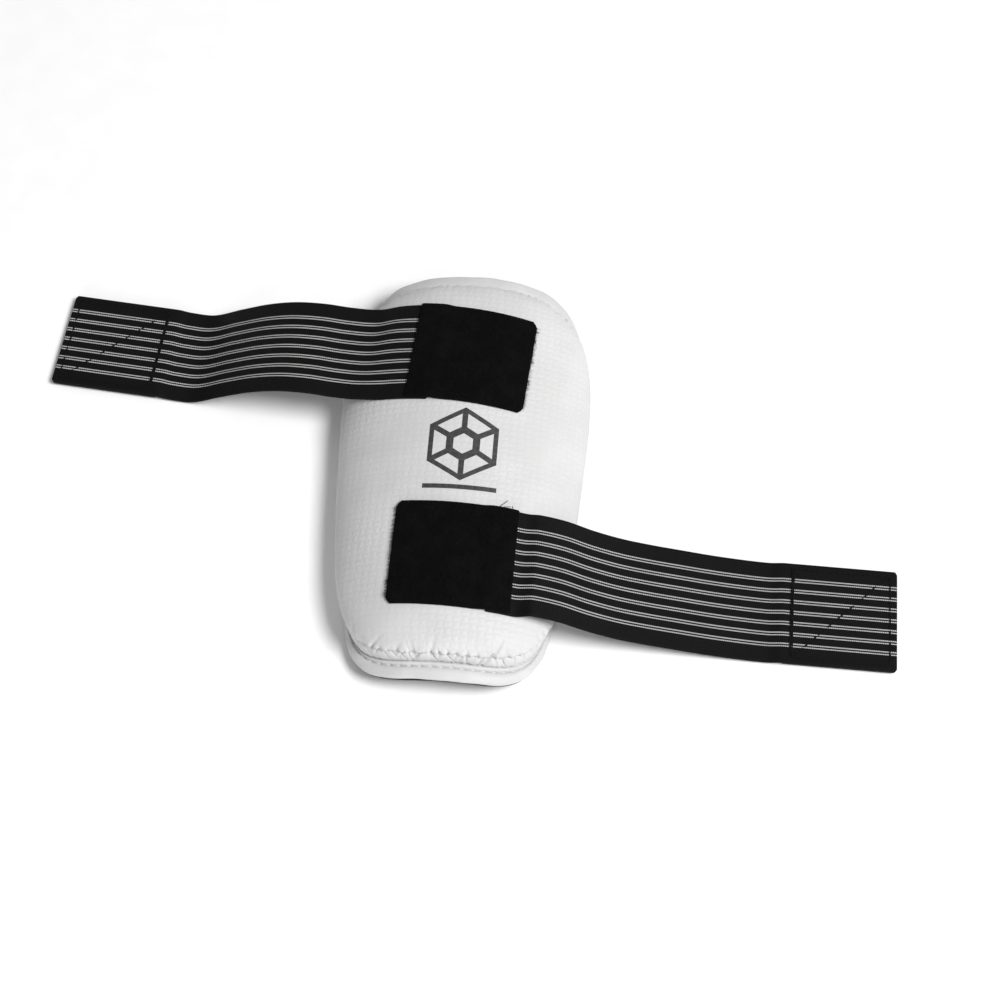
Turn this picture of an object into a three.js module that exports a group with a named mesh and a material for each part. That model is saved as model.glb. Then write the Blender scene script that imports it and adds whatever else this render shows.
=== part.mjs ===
// Forearm guard for sparring: an arched foam pad in a sewn vinyl cover, with two elastic straps
// that close with hook-and-loop. Millimetres, +Z up, resting on z = 0. +Y is the elbow end, -Y
// the wrist end, and the arch of the pad runs round the forearm, so it curves along X.
import * as THREE from 'three';

// Three outlines of the pad, measured on the lining's arched surface: the flange's edge, the
// gusset's foot and the face seam. Each has a half-width, a length from the middle to the elbow
// end and to the wrist end, and the exponents of its rounded corners: higher is squarer.
const EDGE_RING = { width: 56, elbow: 102.2, wrist: 103.4, elbowPower: 4.2, wristPower: 4.6 };
const FOOT_RING = { width: 53.2, elbow: 93, wrist: 96, elbowPower: 3.9, wristPower: 5 };
const SEAM_RING = { width: 53, elbow: 91, wrist: 94, elbowPower: 3.4, wristPower: 3.9 };
const HALF_LENGTH = 106;
const TAPER = 0.06; // the half-width grows by this much per millimetre towards the elbow
const ARCH_RADIUS = 75;
const LENGTH_BOW = 1; // the ends sit this much lower than the middle
const TILT = 4.6; // the elbow end lies this much higher than the middle, being the wider arch

// Layers, as heights above the lining's arched surface
const GAP = 0.3;
const LINING_TOP = 0.8;
const BACKING_TOP = 3.1;
const FLANGE_TOP = 4.1;
const WELT_HEIGHT = FLANGE_TOP + GAP;
const SEAM_HEIGHT = 13;
const CROWN_HEIGHT = 5.8;
const VINYL = 0.8;
const THREAD_RADIUS = 0.3;
const BORDER_STITCH_INSET = 6;

// Radial stations, from the middle of the pad to its edge
const FOOT = 47.5;
const EDGE = 57;
const HEM_INSET = 1.5; // the hem's turned edge keeps its own thickness all round
const CENTRE_FIELD = 30; // inside this, stations scale the outline instead of insetting it
const STATIONS = [0, 15, CENTRE_FIELD, 39, FOOT, EDGE - HEM_INSET];
const TURNS = 60;

// Straps and hook-and-loop, measured outwards from the middle of each loop patch
const STRAP_WIDTH = 50;
const STRAP_THICKNESS = 1.3;
const PATCH_HALF = 28;
const PATCH_THICKNESS = 1.5;
const FACE_GAP = 0.5;
const ROOT_START = 17;
const STEP_LENGTH = 6; // the patch climbs onto the strap's sewn end over this length
const HINGE_CLEARANCE = 1.7;
const LIFT_HINGE = 29.6;
const EDGE_HINGE = 62.5;
const BEND_HINGE = 98;
const TAB_HINGE = 140;
const STRAP_END = 205;
const TAB_START = 153;
const TAB_THICKNESS = 1.8;
const TAB_EDGE = 1;
const STITCH_INSET = 3;
const STITCH_WIDTH = 0.6;
const STITCH_HEIGHT = 0.4;
const STITCH_SQUARENESS = 10;
const ON_TAB = TAB_THICKNESS + GAP;
// Each strap lets go of the pad between two distances outwards, and its underside then hangs
// through places of [distance outwards, height above the table]. The ends are alike.
const HANGING_END = [[134, 1.6], [146, 0.9], [TAB_START, ON_TAB], [STRAP_END, ON_TAB]];
const STRAPS = [
  {
    name: 'upper',
    x: 1.6,
    y: 49.8,
    heading: 180 - 4.8,
    leaves: [38, 50],
    hang: [[38, 34], [50, 28.4], [EDGE_HINGE, 27], [76, 27.2], [90, 25.2], [104, 19.8], [119, 11]],
  },
  {
    name: 'lower',
    x: 1.3,
    y: -50.8,
    heading: -1,
    leaves: [28, 38],
    hang: [[28, 32.4], [38, 31.6], [50, 27.4], [EDGE_HINGE, 19.8], [76, 13.6], [90, 9.6], [104, 6.6],
      [119, 3.6]],
  },
];

// Printed emblem: a hexagon nut of two rings joined by spokes, over a plain bar
const EMBLEM = { x: 1.5, y: 4.1, outer: 18.5, inner: 8.4, limb: 3.2, spoke: 2.6 };
const EMBLEM_BAR = { y: -17.6, halfLength: 17, halfWidth: 1.1 };
const PRINT_THICKNESS = 0.25;
const SAMPLE = 4; // an outline that is bent over the pad has a point this often
const SLAB_STEP = 6; // and a bent slab a row of points this often

const COLOURS = {
  vinyl: [0xf1f1f0, 0.42],
  border: [0xf4f4f3, 0.4],
  lining: [0x1b1b1c, 0.95],
  foam: [0xcfcfca, 0.9],
  core: [0xd8d6cf, 0.9],
  elastic: [0x161616, 0.8],
  loop: [0x0c0c0c, 1.0],
  hook: [0x121212, 0.6],
  print: [0x3a3a3b, 0.5],
  whiteThread: [0xdededc, 0.7],
  blackThread: [0x0f0f0f, 0.8],
};

const guard = new THREE.Group();

function addPart(name, geometry, colour) {
  const [color, roughness] = COLOURS[colour];
  const material = new THREE.MeshStandardMaterial({ color, roughness, metalness: 0 });
  const mesh = new THREE.Mesh(geometry, material);
  mesh.name = name;
  guard.add(mesh);
}

// ---- The pad's arched shape ----

// Part of the way from one outline to another
function between(from, to, share) {
  const mix = (key) => THREE.MathUtils.lerp(from[key], to[key], share);
  return {
    width: mix('width'),
    elbow: mix('elbow'),
    wrist: mix('wrist'),
    elbowPower: mix('elbowPower'),
    wristPower: mix('wristPower'),
  };
}

// Where a radial station lies on the unrolled pad. The rise runs from 0 at the gusset's foot to 1
// at the face seam, and the outset moves the point outwards in millimetres.
function layFlat(station, angle, rise, outset = 0) {
  const hemStart = EDGE - HEM_INSET;
  const share = THREE.MathUtils.clamp((station - FOOT) / (hemStart - FOOT), 0, 1);
  const ring = between(between(FOOT_RING, SEAM_RING, rise), EDGE_RING, share);
  const hem = Math.max(station - hemStart, 0) - HEM_INSET * share;
  const grow = Math.min(Math.max(station, CENTRE_FIELD) - FOOT, 0) + hem + outset;
  const scale = Math.min(station / CENTRE_FIELD, 1);

  const [cosine, sine] = [Math.cos(angle), Math.sin(angle)];
  const power = sine > 0 ? ring.elbowPower : ring.wristPower;
  const reach = (Math.abs(cosine) ** power + Math.abs(sine) ** power) ** (-1 / power);
  const halfLength = sine > 0 ? ring.elbow : ring.wrist;
  const halfWidth = ring.width + TAPER * HALF_LENGTH * sine * reach;
  return {
    across: (halfWidth + grow) * cosine * reach * scale,
    along: (halfLength + grow) * sine * reach * scale,
  };
}

// The direction straight out of the lining at a place of the unrolled pad
function outwards(across, along) {
  const turn = across / ARCH_RADIUS;
  const slope = (2 * LENGTH_BOW * along) / HALF_LENGTH ** 2 - TILT / HALF_LENGTH;
  return new THREE.Vector3(Math.sin(turn), slope, Math.cos(turn)).normalize();
}

// Roll a point of the unrolled pad onto the arch, height above the lining's surface
function rollUp(across, along, height) {
  const turn = across / ARCH_RADIUS;
  const share = along / HALF_LENGTH;
  const lift = TILT * share - LENGTH_BOW * share ** 2;
  return new THREE.Vector3(
    ARCH_RADIUS * Math.sin(turn), along, ARCH_RADIUS * Math.cos(turn) + lift,
  ).addScaledVector(outwards(across, along), height);
}

function lowestEdge() {
  let lowest = Infinity;
  for (let turn = 0; turn < TURNS; turn += 1) {
    const flat = layFlat(EDGE, (2 * Math.PI * turn) / TURNS, 0);
    lowest = Math.min(lowest, rollUp(flat.across, flat.along, 0).z);
  }
  return lowest;
}
const TABLE = lowestEdge();

const riseAt = (height) => THREE.MathUtils.clamp(
  (height - WELT_HEIGHT) / (SEAM_HEIGHT - WELT_HEIGHT), 0, 1,
);

// The crown rises steeply at the face seam and is nearly flat over the middle
const crownAt = (fraction) => Math.sqrt(Math.max(0, 1 - fraction ** 5));

// Turn a profile of [station, height] round the pad's middle and bend it to the pad's shape.
// With a base station, the profile lies in millimetres round that station.
function wrapRound(profile, base) {
  const points = profile.map(([station, height]) => new THREE.Vector2(station, height));
  const geometry = new THREE.LatheGeometry(points, TURNS);
  const position = geometry.getAttribute('position');
  for (let i = 0; i < position.count; i += 1) {
    const [x, height, z] = [position.getX(i), position.getY(i), position.getZ(i)];
    const reach = Math.hypot(x, z);
    const [station, outset] = base === undefined ? [reach, 0] : [base, reach - base];
    const flat = layFlat(station, Math.atan2(-z, x), riseAt(height), outset);
    const point = rollUp(flat.across, flat.along, height);
    position.setXYZ(i, point.x, point.y, point.z - TABLE);
  }
  return geometry;
}

const closed = (profile) => [...profile, profile[0]];

function slabLayer(bottom, top, edge) {
  const stations = [...STATIONS, edge];
  const under = stations.map((station) => [station, bottom]);
  const over = stations.map((station) => [station, top]).reverse();
  return wrapRound([...under, ...over]);
}

function threadRing(station, outset, height) {
  const sides = [0, 1, 2, 3].map((side) => (side * Math.PI) / 2);
  const profile = sides.map((turn) => [
    station + outset + THREAD_RADIUS * Math.cos(turn), height + THREAD_RADIUS * Math.sin(turn),
  ]);
  return wrapRound(closed(profile), station);
}

const CROWN_FRACTIONS = [0, 0.28, 0.52, 0.72, 0.86, 0.94, 0.985, 1];

// The dome over the pad, set in by depth on every side
function crownProfile(depth) {
  return CROWN_FRACTIONS.map((fraction) => [
    (FOOT - depth) * fraction, SEAM_HEIGHT + (CROWN_HEIGHT - depth) * crownAt(fraction),
  ]);
}

function makePad() {
  addPart('back_lining', slabLayer(0, LINING_TOP, EDGE), 'lining');
  addPart('backing_foam', slabLayer(LINING_TOP + GAP, BACKING_TOP, EDGE - GAP - VINYL), 'foam');

  const coverLow = BACKING_TOP + GAP;
  const coverInner = FOOT - 3;
  const hemStart = EDGE - HEM_INSET;
  const hem = EDGE + GAP;
  const border = [
    [coverInner, coverLow], [FOOT, coverLow], [hemStart, coverLow], [hem - VINYL, coverLow],
    [hem - VINYL, LINING_TOP + GAP], [hem, LINING_TOP + GAP], [hem, FLANGE_TOP],
    [hemStart, FLANGE_TOP], [FOOT, FLANGE_TOP], [coverInner, FLANGE_TOP],
  ];
  addPart('border_cover', wrapRound(closed(border)), 'border');

  const wallHeights = [WELT_HEIGHT, 7, 9, 11, SEAM_HEIGHT - GAP];
  const wallOuter = wallHeights.map((height) => [FOOT, height]);
  const wallInner = wallHeights.map((height) => [FOOT - VINYL, height]).reverse();
  addPart('gusset_strip', wrapRound(closed([...wallOuter, ...wallInner])), 'vinyl');

  const faceOuter = crownProfile(0).reverse();
  addPart('face_cover', wrapRound([...crownProfile(VINYL), ...faceOuter]), 'vinyl');

  const coreEdge = FOOT - VINYL - GAP;
  const coreFoot = coverInner - 2 * GAP;
  const core = [
    [0, coverLow], [15, coverLow], [CENTRE_FIELD, coverLow], [39, coverLow],
    [coreFoot, coverLow], [coreFoot, WELT_HEIGHT], [coreEdge, WELT_HEIGHT],
    [coreEdge, 7], [coreEdge, 9], [coreEdge, 11], ...crownProfile(VINYL + GAP).reverse(),
  ];
  addPart('foam_core', wrapRound(core), 'core');

  const seam = threadRing(FOOT, GAP + THREAD_RADIUS, SEAM_HEIGHT - GAP / 2);
  addPart('face_seam_thread', seam, 'whiteThread');
  const borderHeight = FLANGE_TOP + GAP + THREAD_RADIUS;
  addPart('border_thread', threadRing(EDGE - BORDER_STITCH_INSET, 0, borderHeight), 'whiteThread');
}

// ---- The face as a height over the table, for what is sewn and printed on it ----

// The radial station on the face that lies at a place of the unrolled pad
function stationAt(across, along) {
  const wanted = Math.hypot(across / FOOT, along / HALF_LENGTH);
  let station = wanted * FOOT;
  let angle = Math.atan2(along / HALF_LENGTH, across / FOOT);
  const target = angle;
  for (let step = 0; step < 10; step += 1) {
    const flat = layFlat(station, angle, 1);
    const reached = Math.hypot(flat.across / FOOT, flat.along / HALF_LENGTH);
    angle += target - Math.atan2(flat.along / HALF_LENGTH, flat.across / FOOT);
    station *= wanted / Math.max(reached, 1e-6);
  }
  return station;
}

function faceZ(x, y) {
  let height = SEAM_HEIGHT + CROWN_HEIGHT;
  let [across, along] = [x, y];
  for (let step = 0; step < 6; step += 1) {
    const sine = THREE.MathUtils.clamp(x / (ARCH_RADIUS + height), -0.95, 0.95);
    across = ARCH_RADIUS * Math.asin(sine);
    along = y - height * outwards(across, along).y;
    const fraction = Math.min(stationAt(across, along) / FOOT, 1);
    height = SEAM_HEIGHT + CROWN_HEIGHT * crownAt(fraction);
  }
  return rollUp(across, along, height).z - TABLE;
}

// A flat outline given a thickness and bent so that its underside follows a height field
function drapeShape(shape, thickness, heightAt) {
  const options = { depth: thickness, bevelEnabled: false, curveSegments: 1 };
  const geometry = new THREE.ExtrudeGeometry(shape, options);
  const position = geometry.getAttribute('position');
  for (let i = 0; i < position.count; i += 1) {
    const [x, y] = [position.getX(i), position.getY(i)];
    position.setZ(i, position.getZ(i) + heightAt(x, y));
  }
  return geometry;
}

// A fine slab from start to end whose underside follows heightAt(out, side)
function bentSlab(place, [start, end], width, thickness, heightAt) {
  const lengthwise = Math.max(2, Math.round((end - start) / SLAB_STEP));
  const crosswise = Math.max(1, Math.round(width / SLAB_STEP));
  const geometry = new THREE.BoxGeometry(1, 1, 1, lengthwise, crosswise, 1);
  const position = geometry.getAttribute('position');
  for (let i = 0; i < position.count; i += 1) {
    const out = THREE.MathUtils.lerp(start, end, position.getX(i) + 0.5);
    const side = width * position.getY(i);
    const [x, y] = place(out, side);
    position.setXYZ(i, x, y, heightAt(out, side) + thickness * (position.getZ(i) + 0.5));
  }
  return geometry;
}

// Corner points joined by straight edges with a point every SAMPLE millimetres
function sampledPolygon(corners) {
  return corners.flatMap(([x, y], i) => {
    const [endX, endY] = corners[(i + 1) % corners.length];
    const pieces = Math.max(1, Math.round(Math.hypot(endX - x, endY - y) / SAMPLE));
    return Array.from({ length: pieces }, (_, step) => new THREE.Vector2(
      THREE.MathUtils.lerp(x, endX, step / pieces), THREE.MathUtils.lerp(y, endY, step / pieces),
    ));
  });
}

const polar = (radius, turn) => [radius * Math.cos(turn), radius * Math.sin(turn)];
const sixth = Math.PI / 3;

// Outer hexagon ring, inner hexagon hole, and six windows between the rings
function emblemShape() {
  const corners = [0, 1, 2, 3, 4, 5].map((corner) => (corner + 0.5) * sixth);
  const hexagon = (radius) => sampledPolygon(corners.map((turn) => polar(radius, turn)));
  const shape = new THREE.Shape(hexagon(EMBLEM.outer));
  shape.holes.push(new THREE.Path(hexagon(EMBLEM.inner - EMBLEM.limb)));
  const windowOuter = EMBLEM.outer - EMBLEM.limb;
  for (const turn of corners) {
    const away = (radius) => Math.asin(EMBLEM.spoke / 2 / radius);
    shape.holes.push(new THREE.Path(sampledPolygon([
      polar(EMBLEM.inner, turn + away(EMBLEM.inner)),
      polar(windowOuter, turn + away(windowOuter)),
      polar(windowOuter, turn + sixth - away(windowOuter)),
      polar(EMBLEM.inner, turn + sixth - away(EMBLEM.inner)),
    ])));
  }
  return shape;
}

function makePrint() {
  const onFace = (x, y) => faceZ(x + EMBLEM.x, y + EMBLEM.y) + FACE_GAP;
  const emblem = drapeShape(emblemShape(), PRINT_THICKNESS, onFace);
  emblem.translate(EMBLEM.x, EMBLEM.y, 0);
  addPart('emblem_print', emblem, 'print');

  const { y, halfLength, halfWidth } = EMBLEM_BAR;
  const place = (out, side) => [EMBLEM.x + out, y + side];
  const barZ = (out, side) => faceZ(...place(out, side)) + FACE_GAP;
  const bar = bentSlab(place, [-halfLength, halfLength], 2 * halfWidth, PRINT_THICKNESS, barZ);
  addPart('emblem_bar', bar, 'print');
}

// ---- Straps ----

// Height of a free strap's underside: a smooth curve through its hanging places
function hangHeight(strap, out) {
  const places = [...strap.hang, ...HANGING_END];
  const last = places.length - 2;
  let i = 0;
  while (i < last && out > places[i + 1][0]) i += 1;
  const slopeAt = (k) => {
    const before = places[Math.max(k - 1, 0)];
    const after = places[Math.min(k + 1, places.length - 1)];
    return (after[1] - before[1]) / (after[0] - before[0]);
  };
  const [x0, z0] = places[i];
  const [x1, z1] = places[i + 1];
  const span = x1 - x0;
  const t = THREE.MathUtils.clamp((out - x0) / span, 0, 1);
  const flatTail = i === last;
  const startSlope = flatTail ? 0 : slopeAt(i);
  const endSlope = flatTail || i === last - 1 ? 0 : slopeAt(i + 1);
  return z0 * (1 + 2 * t) * (1 - t) ** 2 + z1 * (3 - 2 * t) * t ** 2
    + span * (startSlope * t * (1 - t) ** 2 - endSlope * (1 - t) * t ** 2);
}

// A strap's own frame: out runs away from the patch, side runs across the webbing
function strapFrame(strap) {
  const turn = THREE.MathUtils.degToRad(strap.heading);
  const [cosine, sine] = [Math.cos(turn), Math.sin(turn)];
  return (out, side) => [
    strap.x + out * cosine - side * sine, strap.y + out * sine + side * cosine,
  ];
}

function undersideOf(strap) {
  const place = strapFrame(strap);
  return (out, side) => {
    if (out >= strap.leaves[1]) return hangHeight(strap, out);
    const onFace = faceZ(...place(out, side)) + FACE_GAP;
    if (out <= strap.leaves[0]) return onFace;
    const letGo = THREE.MathUtils.smoothstep(out, ...strap.leaves);
    return THREE.MathUtils.lerp(onFace, hangHeight(strap, out), letGo);
  };
}

// The patch lies on the face, then climbs onto the strap's sewn end
function patchUnderside(strap) {
  const place = strapFrame(strap);
  return (out, side) => {
    const climb = THREE.MathUtils.smoothstep(out, ROOT_START - GAP - STEP_LENGTH, ROOT_START - GAP);
    return faceZ(...place(out, side)) + FACE_GAP + climb * (STRAP_THICKNESS + GAP);
  };
}

// The sewn line that holds a hook tab: a flat frame with one diagonal across its window
function tabStitchShape(start, end, half) {
  const [low, high, edge] = [start + STITCH_WIDTH, end - STITCH_WIDTH, half - STITCH_WIDTH];
  const slack = 2 * STITCH_WIDTH;
  const shape = new THREE.Shape(sampledPolygon([
    [start, -half], [end, -half], [end, half], [start, half],
  ]));
  const windows = [
    [[low, edge], [low, slack - edge], [high - slack, edge]],
    [[high, -edge], [high, edge - slack], [low + slack, -edge]],
  ];
  for (const corners of windows) shape.holes.push(new THREE.Path(sampledPolygon(corners)));
  return shape;
}

// The sewn line round a loop patch: a thread ring laid along a rectangle over the patch
function patchStitchRing(strap, halfLength, halfWidth, heightAt) {
  const place = strapFrame(strap);
  const [inner, outer] = [halfWidth - STITCH_WIDTH, halfWidth];
  const profile = [[inner, 0], [outer, 0], [outer, STITCH_HEIGHT], [inner, STITCH_HEIGHT]];
  const points = closed(profile).map(([radius, height]) => new THREE.Vector2(radius, height));
  const geometry = new THREE.LatheGeometry(points, TURNS);
  const position = geometry.getAttribute('position');
  for (let i = 0; i < position.count; i += 1) {
    const [x, height, z] = [position.getX(i), position.getY(i), position.getZ(i)];
    const angle = Math.atan2(-z, x);
    const inset = halfWidth - Math.hypot(x, z);
    const [cosine, sine] = [Math.cos(angle), Math.sin(angle)];
    const power = STITCH_SQUARENESS;
    const reach = (Math.abs(cosine) ** power + Math.abs(sine) ** power) ** (-1 / power);
    const out = (halfLength - inset) * cosine * reach;
    const side = (halfWidth - inset) * sine * reach;
    const [placeX, placeY] = place(out, side);
    position.setXYZ(i, placeX, placeY, heightAt(out, side) + GAP + height);
  }
  return geometry;
}

function makeWebbing(strap, underside) {
  const place = strapFrame(strap);
  const c = HINGE_CLEARANCE;
  const lengths = {
    root: [ROOT_START, LIFT_HINGE - c],
    inner: [LIFT_HINGE + c, EDGE_HINGE - c],
    middle: [EDGE_HINGE + c, BEND_HINGE - c],
    outer: [BEND_HINGE + c, TAB_HINGE - c],
    tip: [TAB_HINGE + c, STRAP_END],
  };
  for (const [name, span] of Object.entries(lengths)) {
    const webbing = bentSlab(place, span, STRAP_WIDTH, STRAP_THICKNESS, underside);
    addPart(`${strap.name}_strap_${name}`, webbing, 'elastic');
  }
}

function makeHookTab(strap, underside) {
  const span = [TAB_START, STRAP_END - TAB_EDGE];
  const tab = bentSlab(strapFrame(strap), span, STRAP_WIDTH, TAB_THICKNESS, () => 0);
  addPart(`${strap.name}_hook_tab`, tab, 'hook');

  const half = STRAP_WIDTH / 2 - STITCH_INSET;
  const shape = tabStitchShape(span[0] + STITCH_INSET, span[1] - STITCH_INSET, half);
  const threadZ = (out, side) => underside(out, side) + STRAP_THICKNESS + GAP;
  const thread = drapeShape(shape, STITCH_HEIGHT, threadZ);
  thread.rotateZ(THREE.MathUtils.degToRad(strap.heading));
  thread.translate(strap.x, strap.y, 0);
  addPart(`${strap.name}_tab_thread`, thread, 'blackThread');
}

function makeLoopPatch(strap) {
  const patchZ = patchUnderside(strap);
  const span = [-PATCH_HALF, PATCH_HALF];
  const patch = bentSlab(strapFrame(strap), span, STRAP_WIDTH, PATCH_THICKNESS, patchZ);
  addPart(`${strap.name}_loop_patch`, patch, 'loop');

  const [halfLength, halfWidth] = [PATCH_HALF - STITCH_INSET, STRAP_WIDTH / 2 - STITCH_INSET];
  const patchTop = (out, side) => patchZ(out, side) + PATCH_THICKNESS + GAP;
  const ring = patchStitchRing(strap, halfLength, halfWidth, patchTop);
  addPart(`${strap.name}_patch_thread`, ring, 'blackThread');
}

function makeStrap(strap) {
  const underside = undersideOf(strap);
  makeWebbing(strap, underside);
  makeHookTab(strap, underside);
  makeLoopPatch(strap);
}

makePad();
makePrint();
STRAPS.forEach(makeStrap);

export default guard;
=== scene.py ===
import math

import bmesh
import bpy
import numpy as np
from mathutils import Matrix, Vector


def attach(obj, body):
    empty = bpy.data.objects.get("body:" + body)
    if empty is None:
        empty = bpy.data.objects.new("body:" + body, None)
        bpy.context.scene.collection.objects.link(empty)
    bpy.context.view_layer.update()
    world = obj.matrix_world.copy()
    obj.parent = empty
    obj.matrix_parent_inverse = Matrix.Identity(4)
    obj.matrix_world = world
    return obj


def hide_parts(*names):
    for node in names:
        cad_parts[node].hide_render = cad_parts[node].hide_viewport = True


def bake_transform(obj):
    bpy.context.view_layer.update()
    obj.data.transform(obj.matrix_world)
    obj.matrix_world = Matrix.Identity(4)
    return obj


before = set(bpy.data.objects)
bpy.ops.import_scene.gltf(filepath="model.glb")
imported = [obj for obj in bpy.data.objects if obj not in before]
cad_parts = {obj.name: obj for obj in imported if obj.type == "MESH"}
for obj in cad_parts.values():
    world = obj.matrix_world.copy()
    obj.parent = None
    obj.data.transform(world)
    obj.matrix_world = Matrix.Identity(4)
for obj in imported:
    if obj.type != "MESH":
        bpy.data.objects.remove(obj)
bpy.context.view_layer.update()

MM = 0.001
RANDOM = np.random.default_rng(20)

# ---- The pad's driving sizes, which are the CAD's ----

# Outlines of the flange's edge, the gusset's foot and the face seam: half-width, length to the
# elbow end and to the wrist end, and the exponents of those ends' rounded corners
EDGE_RING = np.array([56, 102.2, 103.4, 4.2, 4.6])
FOOT_RING = np.array([53.2, 93, 96, 3.9, 5])
SEAM_RING = np.array([53, 91, 94, 3.4, 3.9])
HALF_LENGTH = 106
TAPER = 0.06  # half-width gained for each millimetre towards the elbow
ARCH_RADIUS = 75
LENGTH_BOW = 1  # the back bows down this far at both ends
TILT = 4.6  # the elbow end stands this much higher than the middle, and the wrist end lower
FOOT = 47.5  # radial stations of the gusset's foot and of the flange's edge
EDGE = 57
HEM_INSET = 1.5
CENTRE_FIELD = 30  # the outline shrinks to the middle inside this station
CAD_TURNS = 60
LINING_TOP = 0.8
BACKING_LOW = 1.1
BACKING_TOP = 3.1
FLANGE_TOP = 4.1
WELT_HEIGHT = 4.4
SEAM_HEIGHT = 13
GUSSET_TOP = 12.3
CROWN_HEIGHT = 5.8
VINYL = 0.8

# Straps, measured outwards from the middle of each loop patch
STRAP_HALF = 25
STRAP_THICKNESS = 1.3
ROOT_START = 17
STRAP_END = 205
TAB_START = 153
ON_TAB = 2.1
HINGES = {"lift": 29.6, "edge": 62.5, "bend": 98, "tab": 140}
HANGING_END = [(134, 1.6), (146, 0.9), (TAB_START, ON_TAB), (STRAP_END, ON_TAB)]
STRAPS = [
    {
        "name": "upper", "x": 1.6, "y": 49.8, "heading": 175.2, "up": -1, "leaves": (38, 50),
        "hang": [(38, 34), (50, 28.4), (62.5, 27), (76, 27.2), (90, 25.2), (104, 19.8), (119, 11)],
    },
    {
        "name": "lower", "x": 1.3, "y": -50.8, "heading": -1, "up": 1, "leaves": (28, 38),
        "hang": [
            (28, 32.4), (38, 31.6), (50, 27.4), (62.5, 19.8), (76, 13.6), (90, 9.6), (104, 6.6),
            (119, 3.6),
        ],
    },
]
PATCH_HALF = 28
PATCH_THICKNESS = 1.4
ON_FACE = 0.15  # what lies on the vinyl keeps this far off it


# ---- Shapes of the pad ----

def smoothstep(value, low, high):
    t = np.clip((value - low) / (high - low), 0, 1)
    return t * t * (3 - 2 * t)


def bell(value, width):
    return np.exp(-((value / width) ** 2))


def lay_flat(station, angle, rise=0.0, outset=0.0):
    """Where a radial station lies on the unrolled pad.

    The rise runs from 0 at the gusset's foot to 1 at the face seam; the outset is in millimetres."""
    station, angle, rise = np.broadcast_arrays(station, angle, rise)
    hem_start = EDGE - HEM_INSET
    share = np.clip((station - FOOT) / (hem_start - FOOT), 0, 1)
    wall = [foot + (seam - foot) * rise for foot, seam in zip(FOOT_RING, SEAM_RING)]
    ring = [low + (edge - low) * share for low, edge in zip(wall, EDGE_RING)]
    hem = np.maximum(station - hem_start, 0) - HEM_INSET * share
    grow = np.minimum(np.maximum(station, CENTRE_FIELD) - FOOT, 0) + hem + outset
    scale = np.minimum(station / CENTRE_FIELD, 1)
    cosine, sine = np.cos(angle), np.sin(angle)
    power = np.where(sine > 0, ring[3], ring[4])
    reach = (np.abs(cosine) ** power + np.abs(sine) ** power) ** (-1 / power)
    half_width = ring[0] + TAPER * HALF_LENGTH * sine * reach
    half_length = np.where(sine > 0, ring[1], ring[2])
    return (half_width + grow) * cosine * reach * scale, (half_length + grow) * sine * reach * scale


def arch_normal(across, along):
    turn = across / ARCH_RADIUS
    slope = 2 * LENGTH_BOW * along / HALF_LENGTH**2 - TILT / HALF_LENGTH
    normal = np.stack([np.sin(turn), slope + 0 * turn, np.cos(turn)], -1)
    return normal / np.linalg.norm(normal, axis=-1, keepdims=True)


def arch_place(across, along):
    """Where a point of the unrolled lining lies on the arch, measured up from the arch's axis."""
    turn = across / ARCH_RADIUS
    share = along / HALF_LENGTH
    lift = TILT * share - LENGTH_BOW * share**2
    return np.stack(
        [ARCH_RADIUS * np.sin(turn), along + 0 * turn, ARCH_RADIUS * np.cos(turn) + lift], -1
    )


EDGE_ANGLES = np.arange(CAD_TURNS) * 2 * math.pi / CAD_TURNS
TABLE = arch_place(*lay_flat(EDGE, EDGE_ANGLES))[:, 2].min()


def roll_up(across, along, height):
    """A point of the unrolled pad on its arch over the table, height above the lining's surface."""
    on_table = arch_place(across, along) - (0, 0, TABLE)
    return on_table + arch_normal(across, along) * np.asarray(height)[..., None]


def rise_at(height):
    return np.clip((height - WELT_HEIGHT) / (SEAM_HEIGHT - WELT_HEIGHT), 0, 1)


def crown_at(fraction):
    return np.sqrt(np.clip(1 - fraction**5, 0, None))


def softness(across, along):
    """Slow swells of the foam face, in millimetres."""
    waves = (
        (0.16, 0.061, 0.034, 0.4), (0.12, -0.083, 0.052, 2.1), (0.10, 0.118, -0.071, 4.0),
        (0.07, 0.045, 0.147, 1.3), (0.05, 0.19, 0.11, 5.2),
    )
    return sum(size * np.sin(a * across + b * along + phase) for size, a, b, phase in waves)


def station_at(across, along):
    """The radial station on the face at a place of the unrolled pad."""
    wanted = np.hypot(across / FOOT, along / HALF_LENGTH)
    station = wanted * FOOT
    target = np.arctan2(along / HALF_LENGTH, across / FOOT)
    angle = target.copy()
    for _ in range(12):
        u, v = lay_flat(station, angle, 1.0)
        reached = np.hypot(u / FOOT, v / HALF_LENGTH)
        angle = angle + target - np.arctan2(v / HALF_LENGTH, u / FOOT)
        station = station * wanted / np.maximum(reached, 1e-6)
    return station


def on_face(x, y, offset=0.0):
    """The point offset above the visible face that lies over (x, y)."""
    x, y = np.broadcast_arrays(np.asarray(x, float), np.asarray(y, float))
    across, along = x.copy(), y.copy()
    height = np.full(x.shape, float(SEAM_HEIGHT + CROWN_HEIGHT))
    for _ in range(8):
        sine = np.clip(x / (ARCH_RADIUS + height), -0.95, 0.95)
        across = ARCH_RADIUS * np.arcsin(sine)
        along = y - arch_normal(across, along)[..., 1] * height
        fraction = np.minimum(station_at(across, along) / FOOT, 1)
        height = SEAM_HEIGHT + CROWN_HEIGHT * crown_at(fraction) + softness(across, along)
        height = height + offset
    return roll_up(across, along, height)


# ---- Meshes ----

def add_object(name, data):
    made = bpy.data.objects.new(name, data)
    bpy.context.scene.collection.objects.link(made)
    return made


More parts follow.
